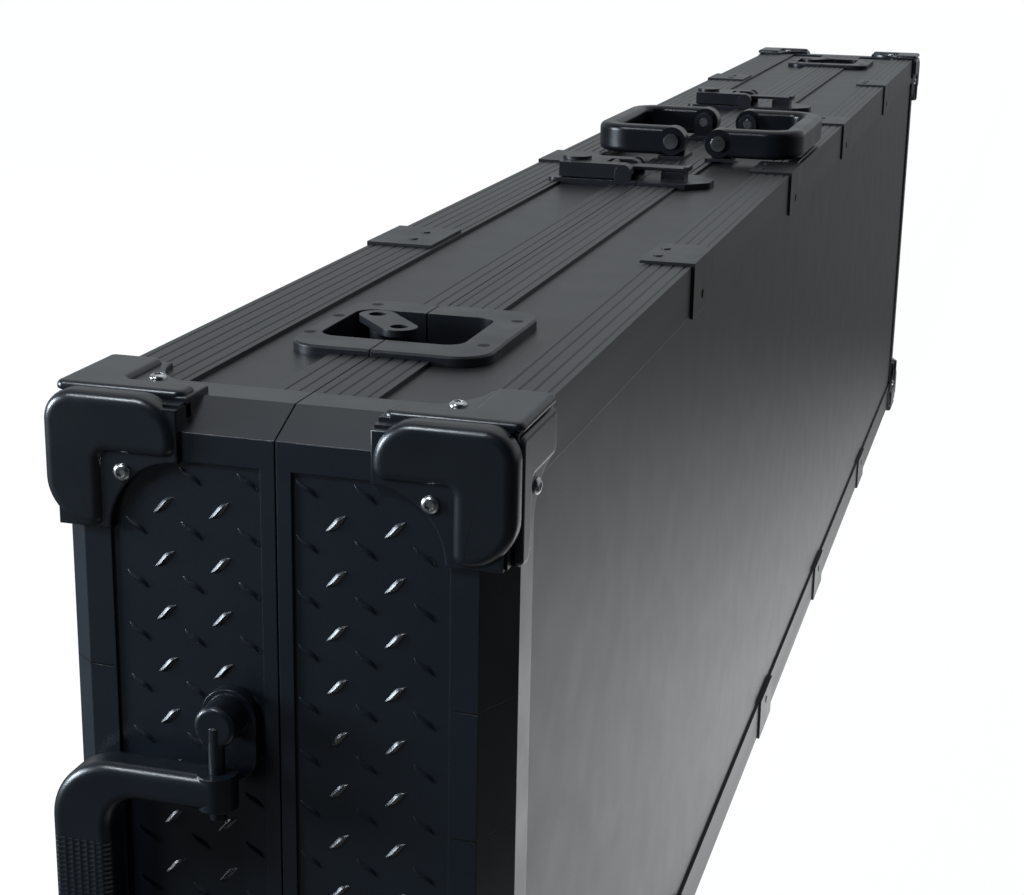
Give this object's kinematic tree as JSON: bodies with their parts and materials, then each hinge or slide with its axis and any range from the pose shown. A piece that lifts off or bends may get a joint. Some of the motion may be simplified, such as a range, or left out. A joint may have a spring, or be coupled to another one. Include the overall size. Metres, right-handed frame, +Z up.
{
  "type": "cue case",
  "caption": "Long black hard case in two halves, with ribbed extrusions, moulded treaded ends and corners, twist latches, hasps and folding handles.",
  "frame": {"origin": "middle of the overall length and thickness, on the surface that the case stands on", "axes": "+X through the thickness towards the lid half, +Y along the length away from the end handle, +Z up"},
  "size_m": [0.1736, 1.6584, 0.4168],
  "materials": {
    "panel": "satin",
    "extrusion": "satin",
    "cap": "satin",
    "corner": "satin",
    "screw": "polished",
    "clip": "satin",
    "hardware": "satin",
    "bright_pin": "satin",
    "handle": "satin",
    "end_handle": "satin",
    "hinge": "satin",
    "foam": "matte"
  },
  "bodies": {
    "base": {"base_side_panel": "panel", "base_long_boards": "panel", "base_end_boards": "panel", "base_angles": "extrusion", "base_top_valance": "extrusion", "base_hinged_valance": "extrusion", "base_near_cap": "cap", "base_far_cap": "cap", "base_near_top_corner": "corner", "base_near_foot_corner": "corner", "base_far_top_corner": "corner", "base_far_foot_corner": "corner", "base_corner_screws": "screw", "base_clips": "clip", "base_clip_rivets": "clip", "base_foam": "foam", "near_latch_base_dish": "hardware", "near_hasp_plate": "hardware", "far_latch_base_dish": "hardware", "far_hasp_plate": "hardware", "base_handle_brackets": "hardware", "base_handle_pins": "bright_pin", "end_handle_brackets": "end_handle", "hinge_base_leaves": "hinge", "hinge_pins": "hinge"},
    "lid": {"lid_side_panel": "panel", "lid_long_boards": "panel", "lid_end_boards": "panel", "lid_angles": "extrusion", "lid_top_valance": "extrusion", "lid_hinged_valance": "extrusion", "lid_near_cap": "cap", "lid_far_cap": "cap", "lid_near_top_corner": "corner", "lid_near_foot_corner": "corner", "lid_far_top_corner": "corner", "lid_far_foot_corner": "corner", "lid_corner_screws": "screw", "lid_clips": "clip", "lid_clip_rivets": "clip", "lid_foam": "foam", "near_latch_lid_dish": "hardware", "near_hasp_keeper": "hardware", "far_latch_lid_dish": "hardware", "far_hasp_keeper": "hardware", "lid_handle_brackets": "hardware", "lid_handle_pins": "bright_pin", "hinge_lid_leaves": "hinge"},
    "base_handle": {"base_handle": "handle"},
    "lid_handle": {"lid_handle": "handle"},
    "end_handle": {"end_handle": "end_handle"},
    "near_latch_wing": {"near_latch_wing": "hardware"},
    "near_latch_hook": {"near_latch_hook": "hardware"},
    "near_hasp_lever": {"near_hasp_lever": "hardware"},
    "near_hasp_link": {"near_hasp_link": "hardware"},
    "far_latch_wing": {"far_latch_wing": "hardware"},
    "far_latch_hook": {"far_latch_hook": "hardware"},
    "far_hasp_lever": {"far_hasp_lever": "hardware"},
    "far_hasp_link": {"far_hasp_link": "hardware"}
  },
  "joints": [
    {"name": "lid_hinge", "type": "hinge", "parent": "base", "child": "lid", "pos_m": [0, 0.00885, 0.0036], "axis": [0, 1, 0], "range_deg": [0, 100]},
    {"name": "base_handle_fold", "type": "hinge", "parent": "base", "child": "base_handle", "pos_m": [-0.004, -0.04715, 0.4073], "axis": [0, 1, 0], "range_deg": [0, 90]},
    {"name": "lid_handle_fold", "type": "hinge", "parent": "lid", "child": "lid_handle", "pos_m": [0.028, -0.04715, 0.4073], "axis": [0, -1, 0], "range_deg": [0, 90]},
    {"name": "end_handle_swing", "type": "hinge", "parent": "base", "child": "end_handle", "pos_m": [-0.018, -0.82165, 0.1998], "axis": [0, 0, 1], "range_deg": [0, 110]},
    {"name": "near_wing_turn", "type": "hinge", "parent": "base", "child": "near_latch_wing", "pos_m": [-0.008, -0.66915, 0.3803], "axis": [0, 0, 1], "range_deg": [0, 180]},
    {"name": "near_hook_slide", "type": "slide", "parent": "base", "child": "near_latch_hook", "axis": [1, 0, 0], "range_m": [0, 0.006]},
    {"name": "near_lever_lift", "type": "hinge", "parent": "base", "child": "near_hasp_lever", "pos_m": [-0.009, -0.21715, 0.4023], "axis": [0, 1, 0], "range_deg": [0, 110]},
    {"name": "near_link_swing", "type": "hinge", "parent": "near_hasp_lever", "child": "near_hasp_link", "pos_m": [-0.019, -0.21715, 0.4038], "axis": [0, 1, 0], "range_deg": [-110, 0]},
    {"name": "far_wing_turn", "type": "hinge", "parent": "base", "child": "far_latch_wing", "pos_m": [-0.008, 0.68685, 0.3803], "axis": [0, 0, -1], "range_deg": [0, 180]},
    {"name": "far_hook_slide", "type": "slide", "parent": "base", "child": "far_latch_hook", "axis": [1, 0, 0], "range_m": [0, 0.006]},
    {"name": "far_lever_lift", "type": "hinge", "parent": "base", "child": "far_hasp_lever", "pos_m": [-0.009, 0.23485, 0.4023], "axis": [0, 1, 0], "range_deg": [0, 110]},
    {"name": "far_link_swing", "type": "hinge", "parent": "far_hasp_lever", "child": "far_hasp_link", "pos_m": [-0.019, 0.23485, 0.4038], "axis": [0, 1, 0], "range_deg": [-110, 0]}
  ],
  "couplings": [
    {"joint": "near_hook_slide", "follows": "near_wing_turn", "m_per_rad": 0.0019},
    {"joint": "near_link_swing", "follows": "near_lever_lift", "ratio": -1},
    {"joint": "far_hook_slide", "follows": "far_wing_turn", "m_per_rad": 0.0019},
    {"joint": "far_link_swing", "follows": "far_lever_lift", "ratio": -1}
  ]
}
